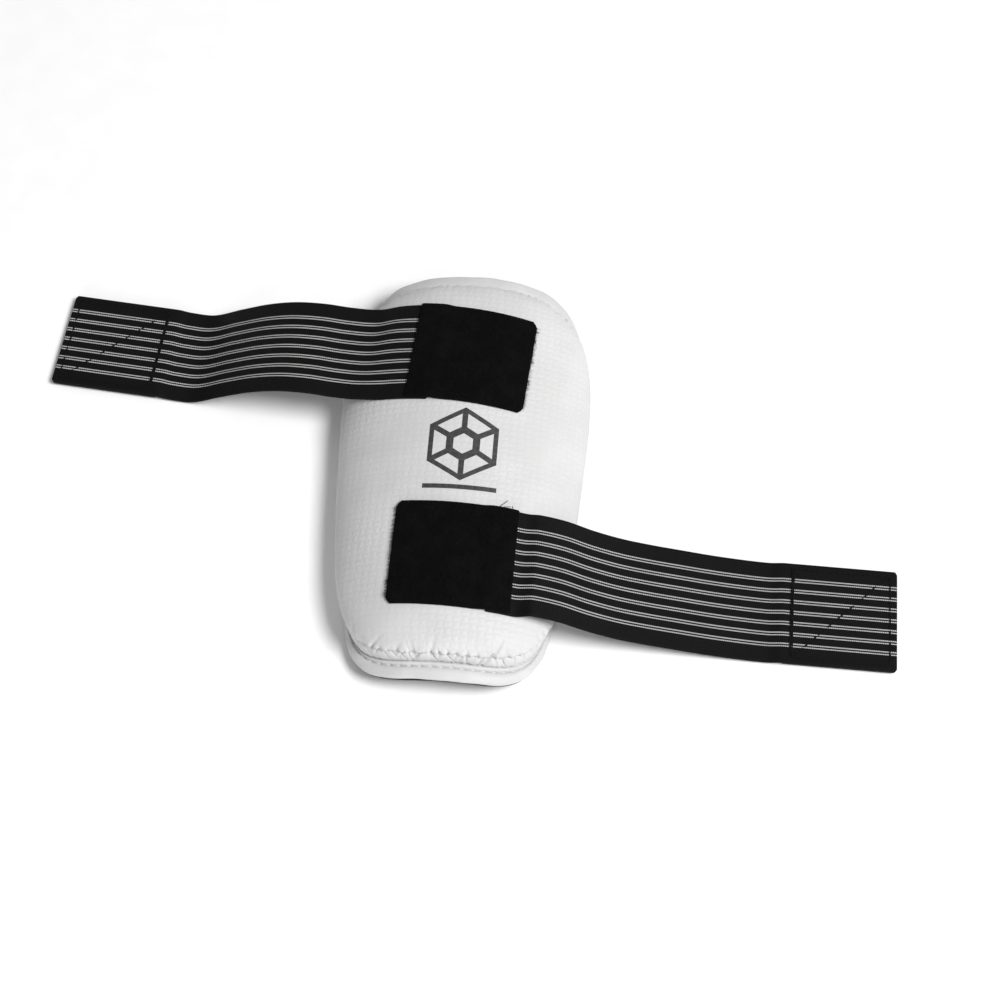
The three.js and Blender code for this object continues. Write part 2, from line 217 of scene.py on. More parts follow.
def add_mesh(name, points, faces, flat, smooth=True):
    """A mesh object from points in millimetres and quads or triangles."""
    points = np.asarray(points, float).reshape(-1, 3)
    faces = np.asarray(faces, np.int32)
    mesh = bpy.data.meshes.new(name)
    mesh.vertices.add(len(points))
    mesh.vertices.foreach_set("co", (points * MM).astype(np.float32).ravel())
    mesh.loops.add(faces.size)
    mesh.loops.foreach_set("vertex_index", faces.ravel())
    mesh.polygons.add(len(faces))
    mesh.polygons.foreach_set("loop_start", np.arange(len(faces), dtype=np.int32) * faces.shape[1])
    mesh.update(calc_edges=True)
    mesh.polygons.foreach_set("use_smooth", np.full(len(faces), smooth))
    attribute = mesh.attributes.new("flat", "FLOAT_VECTOR", "POINT")
    attribute.data.foreach_set("vector", np.asarray(flat, np.float32).ravel())
    return add_object(name, mesh)


def grid_faces(rows, columns, wrap_rows=False):
    """Quads over a grid of points, row by row, whose columns go all the way round."""
    down = np.arange(rows if wrap_rows else rows - 1)
    i, j = np.meshgrid(down, np.arange(columns), indexing="ij")
    next_i, next_j = (i + 1) % rows, (j + 1) % columns
    corners = [i * columns + j, i * columns + next_j, next_i * columns + next_j, next_i * columns + j]
    return np.stack(corners, -1).reshape(-1, 4)


def finish_piece(piece, material, body="guard", replaced=()):
    piece.data.materials.append(material)
    if body:
        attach(piece, body)
    if replaced:
        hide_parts(*replaced)
    return piece


# ---- Materials ----

class Surface:
    """A material's node tree, with short calls for the nodes that the materials here use."""

    def __init__(self, name, flat=True, **sockets):
        self.material = bpy.data.materials.new(name)
        self.material.use_nodes = True
        self.tree = self.material.node_tree
        self.shader = self.tree.nodes["Principled BSDF"]
        self.feed_all(self.shader, sockets)
        if flat:
            made = self.tree.nodes.new("ShaderNodeAttribute")
            made.attribute_name = "flat"
            self.place = made.outputs["Vector"]
            self.x, self.y = self.split(self.place)
        else:
            self.place = self.node("TexCoord", output=3)

    def feed(self, socket, value):
        if isinstance(value, bpy.types.NodeSocket):
            self.tree.links.new(value, socket)
        else:
            socket.default_value = value

    def feed_all(self, node, inputs):
        for socket, value in inputs.items():
            self.feed(node.inputs[socket.replace("_", " ")], value)

    def split(self, vector):
        """The first two numbers of a vector, which are millimetres along the piece's own flat axes."""
        made = self.tree.nodes.new("ShaderNodeSeparateXYZ")
        self.feed(made.inputs[0], vector)
        return made.outputs[0], made.outputs[1]

    def node(self, kind, output=0, **inputs):
        made = self.tree.nodes.new("ShaderNode" + kind)
        self.feed_all(made, inputs)
        return made.outputs[output]

    def math(self, operation, *values):
        made = self.tree.nodes.new("ShaderNodeMath")
        made.operation = operation
        for socket, value in zip(made.inputs, values):
            self.feed(socket, value)
        return made.outputs[0]

    def noise(self, scale, detail=2.0, roughness=0.5):
        return self.node("TexNoise", Vector=self.place, Scale=scale, Detail=detail, Roughness=roughness)

    def wave(self, value, pitch):
        """A sine of value with the given pitch, from 0 to 1."""
        turned = self.math("SINE", self.math("MULTIPLY", value, 2 * math.pi / pitch))
        return self.math("MULTIPLY_ADD", turned, 0.5, 0.5)

    def between(self, value, low, high, start=0.0, end=1.0):
        """value mapped smoothly from low..high to start..end."""
        made = self.tree.nodes.new("ShaderNodeMapRange")
        made.interpolation_type = "SMOOTHSTEP"
        for socket, number in zip(made.inputs, (value, low, high, start, end)):
            self.feed(socket, number)
        return made.outputs[0]

    def mix(self, share, first, second):
        made = self.tree.nodes.new("ShaderNodeMix")
        made.data_type = "RGBA"
        self.feed(made.inputs[0], share)
        for socket, colour in ((made.inputs[6], first), (made.inputs[7], second)):
            self.feed(socket, grey(colour) if isinstance(colour, float) else colour)
        return made.outputs[2]

    def tint(self, first, second, field, low, high, share=1.0):
        """The first colour, turned towards the second where field rises from low to high."""
        return self.mix(self.between(field, low, high, 0, share), first, second)

    def finish(self, colour, roughness, *bumps):
        """Feed the shader and give the material; a bump is (height, millimetres deep)."""
        wanted = {"Base Color": colour, "Roughness": roughness}
        for height, depth in bumps:
            below = {"Normal": wanted["Normal"]} if "Normal" in wanted else {}
            wanted["Normal"] = self.node(
                "Bump", Strength=1, Distance=depth * MM, Height=height, **below
            )
        self.feed_all(self.shader, wanted)
        return self.material


def grey(value, warmth=0.0):
    return (value + warmth, value, value - warmth, 1)


BASKET_CELL = 3.0  # pitch of the embossed basket pattern
HOLE_PITCH = 3.9  # needle holes along the face seam


def basket_height(s):
    """Raised pillows that lie across and along by turns, as an embossed basket weave."""
    cells = [s.math("DIVIDE", value, BASKET_CELL) for value in (s.x, s.y)]
    odd = s.math("PINGPONG", s.math("ADD", *[s.math("FLOOR", cell) for cell in cells]), 1)
    x, y = [s.math("ABSOLUTE", s.math("SUBTRACT", s.math("FRACT", cell), 0.5)) for cell in cells]

    def pillow(wide, narrow):
        return s.math("MULTIPLY", s.between(wide, 0.5, 0.34), s.between(narrow, 0.40, 0.12))

    first, second = pillow(x, y), pillow(y, x)
    return s.math("ADD", first, s.math("MULTIPLY", s.math("SUBTRACT", second, first), odd))


def vinyl(name, embossed):
    s = Surface(name, IOR=1.48, Specular_IOR_Level=0.22)
    smudges = s.noise(0.35, 4, 0.6)
    grain = s.noise(3.2, 3, 0.55)
    tone = s.tint(grey(0.60, 0.001), 0.635, s.noise(0.05, 3), 0.35, 0.65)
    tone = s.tint(tone, grey(0.54, 0.002), smudges, 0.62, 0.8, 0.25)
    bumps = [(grain, 0.035), (smudges, 0.14)]
    if embossed:
        pattern = basket_height(s)
        fading = s.between(s.noise(0.02, 1), 0.3, 0.6, 0.4, 1.0)
        bumps.append((s.math("MULTIPLY", pattern, fading), 0.08))
        # Painted shade: the hollows between the embossed pillows are painted darker, as shade in the
        # embossing.
        tone = s.mix(s.between(pattern, 0.0, 0.5, 0.07, 0.0), tone, grey(0.46, 0.002))
    return s.finish(tone, s.between(grain, 0.25, 0.75, 0.42, 0.56), *bumps)


def border_vinyl():
    s = Surface("border_vinyl", IOR=1.48, Specular_IOR_Level=0.22)
    scuffs = s.noise(0.6, 5, 0.65)
    tone = s.tint(grey(0.58, 0.002), 0.62, s.noise(0.09, 3), 0.35, 0.65)
    tone = s.tint(tone, grey(0.48, 0.003), scuffs, 0.60, 0.75, 0.3)
    rough = s.between(scuffs, 0.3, 0.7, 0.40, 0.56)
    return s.finish(tone, rough, (s.noise(4.5), 0.02), (scuffs, 0.10))


def knit_lining():
    """Warp-knit mesh: rows of small loops with pinholes between them."""
    s = Surface("knit_lining", Sheen_Weight=0.25, Sheen_Roughness=0.5)
    column = s.wave(s.x, 1.3)
    rows = s.wave(s.math("ADD", s.y, s.math("MULTIPLY", column, 0.35)), 0.9)
    loops = s.math("MULTIPLY", column, rows)
    lint = s.noise(0.8, 4, 0.7)
    tone = s.tint(0.006, grey(0.030, 0.001), loops, 0.1, 0.8)
    tone = s.tint(tone, grey(0.045, 0.001), lint, 0.60, 0.78, 0.6)
    return s.finish(tone, s.between(lint, 0.3, 0.7, 0.78, 0.92), (lint, 0.08), (loops, 0.22))


def foam(name, value, warmth):
    s = Surface(name)
    pores = s.between(s.node("TexVoronoi", Vector=s.place, Scale=1.6), 0.0, 0.5)
    cloud = s.noise(0.2, 3)
    # Painted shade: the pores' middles are painted darker, as shade inside the foam's open cells.
    tone = s.mix(pores, grey(value * 0.6, warmth), grey(value, warmth))
    tone = s.tint(tone, grey(value * 0.85, warmth * 2), cloud, 0.4, 0.7, 0.3)
    return s.finish(tone, s.between(cloud, 0.3, 0.7, 0.85, 0.97), (pores, 0.15))


STRIPE_PITCH = 5.4
STRIPE_APART = 0.64  # each line's distance from the middle of its pair
STRIPE_HALF = 0.29
STRIPE_FIELD = 18.0  # stripes stop this far from the middle of the webbing


def elastic():
    """Woven elastic: fine ribs along it, a weft across it, and seven pairs of pale lines."""
    s = Surface("striped_elastic", Specular_IOR_Level=0.12)
    in_pair = s.math("ABSOLUTE", s.math("WRAP", s.y, STRIPE_PITCH / 2, -STRIPE_PITCH / 2))
    off_line = s.math("ABSOLUTE", s.math("SUBTRACT", in_pair, STRIPE_APART))
    line = s.between(off_line, STRIPE_HALF + 0.05, STRIPE_HALF - 0.08)
    field = s.between(s.math("ABSOLUTE", s.y), STRIPE_FIELD + 0.1, STRIPE_FIELD - 0.1)
    line = s.math("MULTIPLY", line, field)
    step = s.math("MULTIPLY", s.math("FLOOR", s.math("DIVIDE", s.y, 0.45)), 0.4)
    weft = s.wave(s.math("ADD", s.x, step), 0.95)
    ribs = s.between(s.wave(s.y, 0.9), 0.0, 0.7)
    weave = s.math("MULTIPLY", ribs, s.between(weft, 0.0, 0.9, 0.45, 1.0))
    fuzz = s.noise(1.1, 4, 0.7)
    black = s.tint(s.mix(weave, 0.0018, 0.0066), 0.016, fuzz, 0.60, 0.82, 0.5)
    pale = s.tint(s.tint(0.10, 0.70, weft, 0.15, 0.6), 0.34, s.noise(0.06), 0.4, 0.65, 0.35)
    rough = s.between(fuzz, 0.3, 0.7, 0.60, 0.78)
    return s.finish(s.mix(line, black, pale), rough, (weave, 0.14), (line, 0.06), (fuzz, 0.05))


def loop_pile():
    s = Surface("loop_pile", Specular_IOR_Level=0.06)
    tufts = s.noise(1.6, 5, 0.75)
    matted = s.noise(0.12, 3)
    tone = s.tint(0.0014, 0.0050, tufts, 0.3, 0.7)
    tone = s.tint(tone, 0.0070, matted, 0.4, 0.7, 0.4)
    tone = s.tint(tone, 0.03, s.noise(2.7, 2, 0.4), 0.76, 0.80, 0.5)
    return s.finish(tone, s.between(tufts, 0.3, 0.7, 0.88, 1.0), (tufts, 0.5), (matted, 0.4))


def fibre():
    s = Surface("pile_fibre", Specular_IOR_Level=0.06)
    shade = s.noise(0.9)
    tone = s.tint(0.0018, 0.0060, shade, 0.3, 0.7)
    return s.finish(tone, s.between(shade, 0.3, 0.7, 0.65, 0.85), (shade, 0.02))


def hook_plastic():
    s = Surface("hook_plastic", Specular_IOR_Level=0.2)
    flow = s.noise(0.5, 3)
    scratch = s.noise(5.0)
    tone = s.tint(0.004, 0.011, flow, 0.35, 0.65)
    return s.finish(tone, s.between(scratch, 0.3, 0.7, 0.42, 0.66), (scratch, 0.03), (flow, 0.06))


def ink():
    """Screen-printed ink, a little thin and cracked over the embossing."""
    s = Surface("screen_print")
    pattern = basket_height(s)
    cracks = s.noise(1.4, 5, 0.7)
    tone = s.tint(0.030, 0.046, cracks, 0.3, 0.7)
    tone = s.mix(s.between(pattern, 0.0, 0.25, 0.25, 0.0), tone, 0.09)
    return s.finish(tone, s.between(cracks, 0.3, 0.7, 0.42, 0.58), (pattern, 0.05), (cracks, 0.03))


def sewing_thread(name, dark, light, shine):
    """Twisted thread: its flat coordinates run along it and round it."""
    s = Surface(name, Specular_IOR_Level=shine)
    twist = s.wave(s.math("ADD", s.x, s.math("MULTIPLY", s.y, 0.35)), 0.7)
    tone = s.tint(dark, light, twist, 0.1, 0.8)
    return s.finish(tone, s.between(s.noise(4.0), 0.3, 0.7, 0.5, 0.75), (twist, 0.08))


def floor_paper():
    s = Surface("studio_floor", flat=False, Specular_IOR_Level=0.1)
    return s.finish(s.tint(0.96, 0.98, s.noise(60.0, 3), 0.3, 0.7), 0.9)


FACE_VINYL = vinyl("embossed_vinyl", True)
WALL_VINYL = vinyl("gusset_vinyl", False)
BORDER = border_vinyl()
LINING = knit_lining()
BACKING_FOAM = foam("backing_foam_cells", 0.62, 0.01)
CORE_FOAM = foam("core_foam_cells", 0.68, 0.012)
ELASTIC = elastic()
PILE = loop_pile()
FIBRE = fibre()
HOOK = hook_plastic()
INK = ink()
WHITE_THREAD = sewing_thread("white_thread", 0.42, 0.64, 0.4)
BLACK_THREAD = sewing_thread("black_thread", 0.002, 0.007, 0.1)


# ---- Creases and puckers along the seams ----

class Rim:
    """Lengths round the pad at one station and height, for things spaced along a seam."""

    def __init__(self, station, height):
        self.angles = np.linspace(0, 2 * math.pi, 4001)
        points = roll_up(*lay_flat(station, self.angles, rise_at(height)), height)
        steps = np.linalg.norm(np.diff(points, axis=0), axis=1)
        self.arcs = np.concatenate([[0], np.cumsum(steps)])
        self.length = self.arcs[-1]

    def arc(self, angle):
        return np.interp(np.mod(angle, 2 * math.pi), self.angles, self.arcs)

    def angle(self, arc):
        return np.interp(np.mod(arc, self.length), self.arcs, self.angles)


SEAM_RIM = Rim(FOOT, SEAM_HEIGHT)
STITCH_STATION = FOOT + 2.6
STITCH_RIM = Rim(STITCH_STATION, FLANGE_TOP)


def seam_pull(angle):
    """How hard the seam gathers the vinyl: most at the wrist end, least on the long sides."""
    across, along = lay_flat(FOOT, angle, 1.0)
    across, along = across / SEAM_RING[0], along / SEAM_RING[1]
    wrist = smoothstep(-along, 0.55, 0.95)
    elbow = smoothstep(along, 0.6, 0.97)
    corner = smoothstep(np.abs(across) * np.abs(along), 0.45, 0.8)
    return 0.16 + 0.84 * wrist + 0.5 * elbow + 0.25 * corner * (1 - wrist)


def make_creases(pitch, width, length, depth, slant):
    """Random dents along the face seam: rows of (place, width, length, depth, slant)."""
    places = np.arange(0, SEAM_RIM.length, pitch)
    count = len(places)
    places = places + RANDOM.uniform(-0.4, 0.4, count) * pitch
    pull = seam_pull(SEAM_RIM.angle(places))
    return np.stack([
        places,
        RANDOM.uniform(*width, count),
        RANDOM.uniform(*length, count),
        RANDOM.uniform(*depth, count) * pull,
        RANDOM.uniform(-slant, slant, count),
    ], 1)


def crease_field(angle, away, creases):
    """The depth of a set of creases at an angle round the pad and a distance away from the seam."""
    arc, away = np.broadcast_arrays(SEAM_RIM.arc(angle), away)
    field = np.zeros(arc.shape)
    half_round = SEAM_RIM.length / 2
    for place, width, length, depth, slant in creases:
        gap = np.mod(arc - place - slant * away + half_round, SEAM_RIM.length) - half_round
        near = (np.abs(gap) < 3 * width) & (away < length)
        fade = np.clip(1 - away[near] / length, 0, 1) ** 1.4
        field[near] += depth * bell(gap[near], width) * fade
    return field


# ---- The pad ----

def wrap_round(name, profile, turns, push=None, moving=0, ring=True):
    """A profile of (station, height) turned round the pad, as a ring or as a slab with a middle.

    push(station, height, angle) gives the station and height offsets of the profile's first rows,
    as many as moving says. The piece's flat coordinates are its unrolled place and its height."""
    station, height = [np.repeat(row[:, None], turns, 1) for row in np.array(profile, float).T]
    angle = np.repeat(np.arange(turns)[None, :] * 2 * math.pi / turns, len(profile), 0)
    if push:
        moves = np.arange(len(profile))[:, None] < moving
        out, up = push(station, height, angle)
        station = np.maximum(station + out * moves, 0)
        height = height + up * moves
    across, along = lay_flat(station, angle, rise_at(height))
    points = roll_up(across, along, height)
    flat = np.stack([across, along, height], -1)
    faces = grid_faces(len(profile), turns, wrap_rows=ring)
    piece = add_mesh(name, points, faces, flat)
    if not ring:
        close_poles(piece, turns, len(profile))
    return piece


def dome_fractions(inner, outer):
    """Fractions of the foot radius, close together where the shoulder turns down."""
    flat_part = np.linspace(0.012, 0.8, inner, endpoint=False)
    shoulder = np.sin(np.linspace(math.asin(0.8**2.5), math.pi / 2, outer)) ** 0.4
    return np.concatenate([flat_part, shoulder])


def close_poles(piece, turns, rows):
    """Fill the small holes that a turned slab leaves round its middle, in its first and last rows."""
    mesh = bmesh.new()
    mesh.from_mesh(piece.data)
    mesh.verts.ensure_lookup_table()
    for row in (0, rows - 1):
        hole = [mesh.verts[row * turns + k] for k in range(turns)]
        bmesh.ops.contextual_create(mesh, geom=hole)
    bmesh.ops.recalc_face_normals(mesh, faces=mesh.faces)
    mesh.to_mesh(piece.data)
    mesh.free()


LIP = 0.85  # the face's edge stands out over the gusset


def make_face():
    outer = dome_fractions(34, 38)
    top = [(FOOT * f, SEAM_HEIGHT + CROWN_HEIGHT * crown_at(f)) for f in outer]
    fold = [(FOOT + 0.1, 12.75), (FOOT - 0.25, 12.5), (FOOT - 0.9, 12.4), (FOOT - 2.5, 12.4)]
    inner = [
        ((FOOT - VINYL) * f, SEAM_HEIGHT + (CROWN_HEIGHT - VINYL) * crown_at(f))
        for f in dome_fractions(6, 8)[::-1][1:]
    ]
    profile = top + fold + inner
    darts = make_creases(4.3, (0.5, 1.6), (2.5, 10.0), (0.1, 1.1), 0.45)
    strength = RANDOM.uniform(0.15, 1.5, int(SEAM_RIM.length / HOLE_PITCH) + 2)
    darts = np.vstack([darts, WRIST_FOLDS])

    def push(station, height, angle):
        fraction = np.minimum(station / FOOT, 1)
        down_wall = CROWN_HEIGHT * (1 - crown_at(fraction))
        away = (FOOT - np.minimum(station, FOOT)) + (CROWN_HEIGHT - down_wall)
        away[len(top) - 1:] = 0
        arc = SEAM_RIM.arc(angle)
        pull = seam_pull(angle)
        hole = smoothstep(np.cos(2 * math.pi * arc / HOLE_PITCH), 0.1, 1)
        hole = hole * strength[np.round(arc / HOLE_PITCH).astype(int)]
        scallop = -0.30 * (0.4 + pull) * hole * np.clip(1 - away / 2.2, 0, 1)
        dents = crease_field(angle, away, darts)
        turned = np.clip(1 - away / 9, 0, 1)
        across, along = lay_flat(station, angle, 1.0)
        swell = softness(across, along) * np.clip(away / 14, 0, 1)
        out = LIP * np.clip(1 - away / 2.6, 0, 1) + scallop - dents * turned
        return out, swell - dents * (1 - turned) * 0.8 - dents * 0.25

    piece = wrap_round("face_cover_sewn", profile, 960, push, len(top) + 2, ring=False)
    finish_piece(piece, FACE_VINYL, replaced=["face_cover"])


def wrist_place(x):
    """The seam's arc length at the wrist end nearest to x across the pad."""
    angles = np.linspace(math.pi, 2 * math.pi, 2000)
    across, _ = lay_flat(FOOT, angles, 1.0)
    return float(SEAM_RIM.arc(angles[np.argmin(np.abs(across - x))]))


# Three deeper folds at the wrist end, as (place, width, length, depth, slant)
WRIST_FOLDS = np.array([
    [wrist_place(19), 0.8, 13.0, 1.7, 0.75],
    [wrist_place(-4), 1.3, 11.0, 1.0, 0.1],
    [wrist_place(-11), 1.2, 9.0, 0.9, -0.2],
])


def make_gusset():
    low, high = WELT_HEIGHT - 0.1, GUSSET_TOP
    outer = [(FOOT, high - (high - low) * t) for t in np.linspace(0, 1, 30)]
    profile = outer + [(FOOT - 2.4, height) for height in (WELT_HEIGHT, 7, 10, high)]
    pleats = make_creases(2.1, (0.28, 0.75), (3.0, 13.0), (0.1, 1.5), 0.8)
    gathers = make_creases(2.6, (0.35, 0.9), (2.0, 8.0), (0.1, 1.0), 0.6)
    pleats = np.vstack([pleats, WRIST_FOLDS * (1, 1, 1, 0.7, -0.5)])

    def push(station, height, angle):
        from_seam = high - height
        from_welt = height - low
        pull = seam_pull(angle)
        share = np.clip(from_seam / (high - low), 0, 1)
        body = 0.75 * np.sin(math.pi * share) * (0.5 + 0.6 * pull)
        tuck = -0.9 * bell(from_seam, 0.7) - 0.55 * bell(from_welt, 0.8)
        fade = np.clip(from_seam / 0.8, 0.25, 1)
        dents = crease_field(angle, from_seam, pleats) * fade
        dents = dents + crease_field(angle, from_welt, gathers)
        sag = -0.25 * pull * np.sin(SEAM_RIM.arc(angle) / 6.1) * np.sin(math.pi * share)
        return body + tuck - np.minimum(dents, 1.8), sag

    piece = wrap_round("gusset_gathered", profile, 1400, push, len(outer))
    finish_piece(piece, WALL_VINYL, replaced=["gusset_strip"])


def flange_top(station):
    """Height of the border's top over the lining, which is drawn down along its stitching."""
    roll = 0.40 * bell(station - FOOT - 0.9, 0.8)
    groove = -0.62 * bell(station - STITCH_STATION, 0.75)
    puff = 0.35 * bell(station - STITCH_STATION - 3.1, 1.9)
    return FLANGE_TOP + roll + groove + puff


BORDER_PITCH = 4.8
HEM_TURN = 55.4  # where the border starts to roll over the edge
HEM_REACH = 57.35
HEM_LOW = 1.0
BORDER_UNDERSIDE = 3.35


def make_border():
    over = np.concatenate([[FOOT - 3, FOOT - 1.5], np.linspace(FOOT - 0.6, HEM_TURN, 26)])
    top = [(s, float(flange_top(s))) for s in over]
    centre = (top[-1][1] + HEM_LOW) / 2
    radius = (top[-1][1] - HEM_LOW) / 2
    turn = np.linspace(math.pi / 2, -math.pi / 2, 12)[1:-1]
    edge = [
        (HEM_TURN + (HEM_REACH - HEM_TURN) * math.cos(t), centre + radius * math.sin(t)) for t in turn
    ]
    hem = [(56.35, HEM_LOW), (56.25, 1.6), (56.1, 3.2)]
    profile = top + edge + hem + [(s, BORDER_UNDERSIDE) for s in (54.6, 51, FOOT - 3)]

    def push(station, height, angle):
        arc = STITCH_RIM.arc(angle)
        at_stitch = bell(station - STITCH_STATION, 0.7)
        hole = smoothstep(np.cos(2 * math.pi * arc / BORDER_PITCH), 0.55, 1)
        wobble = 0.16 * np.sin(arc / 9.3) + 0.10 * np.sin(arc / 4.1 + 1) + 0.07 * np.sin(arc / 2.3)
        outward = smoothstep(station, FOOT + 3, EDGE)
        ripple = 0.10 * np.sin(arc / 3.1 + 0.7) * seam_pull(angle) * outward
        return wobble * outward, ripple * smoothstep(height, 2.4, 4.0) - 0.55 * at_stitch * hole

    piece = wrap_round("border_binding", profile, 1200, push, len(top + edge))
    finish_piece(piece, BORDER, replaced=["border_cover"])


def make_lining():
    bottom = [(s, 0.0) for s in [*np.linspace(0.4, 54, 34), 55.5, 56.4, 56.9, 57.1]]
    rounded = [(57.25, 0.25), (57.25, 0.55), (57.0, LINING_TOP)]
    top = [(s, LINING_TOP) for s in (55, 40, 20, 0.4)]

    def push(station, height, angle):
        across, along = lay_flat(station, angle)
        quilt = np.sin(across / 6.5 + 0.4 * np.sin(along / 17)) * np.sin(along / 8.5)
        return 0.0, 0.16 * (1 + quilt) * np.clip((EDGE - station) / 12, 0, 1)

    profile = bottom + rounded + top
    piece = wrap_round("lining_knit", profile, 480, push, len(bottom), ring=False)
    finish_piece(piece, LINING, replaced=["back_lining"])


def make_foams():
    stations = [0.4, 12, 24, 36, 45, 52, 55.4]
    low = [(s, BACKING_LOW) for s in stations] + [(55.7, 1.5), (55.8, 2.2), (55.7, 2.8)]
    high = [(s, BACKING_TOP) for s in stations[::-1]]
    sheet = wrap_round("backing_foam_sheet", low + high, 240, ring=False)
    finish_piece(sheet, BACKING_FOAM, replaced=["backing_foam"])

    reach = FOOT - 2.6
    foot = [(s, 3.6) for s in (0.4, 15, 30, 40, reach - 3.5, reach - 2.6)]
    wall = [(reach - 2.3, 4.2), (reach, 6), (reach, 9), (reach, 11.5)]
    dome = [
        (reach * f, 11.9 + (CROWN_HEIGHT - 0.2) * crown_at(f)) for f in dome_fractions(12, 14)[::-1]
    ]
    profile = foot + wall + dome
    core = wrap_round("foam_core_block", profile, 240, ring=False)
    finish_piece(core, CORE_FOAM, replaced=["foam_core"])


# ---- Stitches ----

def capsules(name, paths, radius, sides=8):
    """Short rounded threads along paths of points, all in one mesh, with an even number of sides."""
    points, faces, flat = [], [], []
    count = 0
    turn = np.arange(sides) * 2 * math.pi / sides
    for path in paths:
        tangent = np.gradient(path, axis=0)
        tangent /= np.linalg.norm(tangent, axis=1, keepdims=True)
        helper = np.where(np.abs(tangent[:, 2:3]) < 0.9, [[0, 0, 1.0]], [[1.0, 0, 0]])
        sideways = np.cross(tangent, helper)
        sideways /= np.linalg.norm(sideways, axis=1, keepdims=True)
        upward = np.cross(sideways, tangent)
        rings = len(path)
        fat = radius * np.clip(1 - np.linspace(-1, 1, rings) ** 6, 0.05, 1) ** 0.5
        ring = (
            sideways[:, None] * np.cos(turn)[None, :, None]
            + upward[:, None] * np.sin(turn)[None, :, None]
        )
        tube = path[:, None] + ring * fat[:, None, None]
        points.append(tube.reshape(-1, 3))
        length = np.concatenate([[0], np.cumsum(np.linalg.norm(np.diff(path, axis=0), axis=1))])
        offset = len(points) * 1.7
        place = np.stack(np.broadcast_arrays(length[:, None] + offset, turn[None, :], 0.0), -1)
        flat.append(place.reshape(-1, 3))
        faces.append(grid_faces(rings, sides) + count)
        for first, flip in ((0, 1), ((rings - 1) * sides, -1)):
            corners = [first + k for k in range(sides)][::flip]
            for k in range(1, sides - 1, 2):
                faces.append(np.array([[corners[0], *corners[k:k + 3]]]) + count)
        count += rings * sides
    return add_mesh(name, np.vstack(points), np.vstack(faces), np.vstack(flat))


def make_border_stitches():
    paths = []
    for k in range(int(STITCH_RIM.length / BORDER_PITCH)):
        start = k * BORDER_PITCH + 0.65 + RANDOM.uniform(-0.15, 0.15)
        end = (k + 1) * BORDER_PITCH - 0.65 + RANDOM.uniform(-0.15, 0.15)
        arc = np.linspace(start, end, 9)
        share = np.linspace(0, 1, 9)
        lean = RANDOM.uniform(-0.12, 0.12)
        station = STITCH_STATION + lean * (share - 0.5) * 2 + RANDOM.uniform(-0.08, 0.08)
        height = flange_top(station) + 0.22 - 0.42 * (2 * share - 1) ** 4
        across, along = lay_flat(station, STITCH_RIM.angle(arc))
        paths.append(roll_up(across, along, height))
    piece = capsules("border_stitching", paths, 0.27)
    finish_piece(piece, WHITE_THREAD, replaced=["border_thread"])


def make_seam_stitches():
    paths = []
    for k in range(int(SEAM_RIM.length / HOLE_PITCH)):
        share = np.linspace(0, 1, 7)
        arc = (k + 0.16 + 0.68 * share) * HOLE_PITCH
        station = FOOT + 0.10 + RANDOM.uniform(-0.05, 0.05)
        height = GUSSET_TOP + 0.02 + 0.10 * np.sin(math.pi * share)
        angle = SEAM_RIM.angle(arc)
        paths.append(roll_up(*lay_flat(station, angle, 1.0), height))
    piece = capsules("face_seam_stitching", paths, 0.2, 6)
    finish_piece(piece, WHITE_THREAD, replaced=["face_seam_thread"])


# ---- The printed emblem ----

EMBLEM = {"x": 1.5, "y": 4.1, "outer": 18.5, "inner": 8.4, "limb": 3.2, "spoke": 2.6}
EMBLEM_BAR = {"y": -17.6, "half_length": 17, "half_width": 1.1}
PRINT_CELL = 1.2


def polar(radius, turn):
    return np.array([radius * math.cos(turn), radius * math.sin(turn)])


def emblem_loops():
    """A hexagon ring round a smaller one, joined by six spokes."""
    sixth = math.pi / 3
    corners = [(k + 0.5) * sixth for k in range(6)]
    loops = [[polar(EMBLEM["outer"], turn) for turn in corners]]
    loops.append([polar(EMBLEM["inner"] - EMBLEM["limb"], turn) for turn in corners])
    window = EMBLEM["outer"] - EMBLEM["limb"]
    for turn in corners:
        near = math.asin(EMBLEM["spoke"] / 2 / EMBLEM["inner"])
        far = math.asin(EMBLEM["spoke"] / 2 / window)
        loops.append([
            polar(EMBLEM["inner"], turn + near), polar(window, turn + far),
            polar(window, turn + sixth - far), polar(EMBLEM["inner"], turn + sixth - near),
        ])
    return [[corner + (EMBLEM["x"], EMBLEM["y"]) for corner in loop] for loop in loops]


def bar_loops():
    x, y = EMBLEM["x"], EMBLEM_BAR["y"]
    a, b = EMBLEM_BAR["half_length"], EMBLEM_BAR["half_width"]
    return [[(x - a, y - b), (x + a, y - b), (x + a, y + b), (x - a, y + b)]]


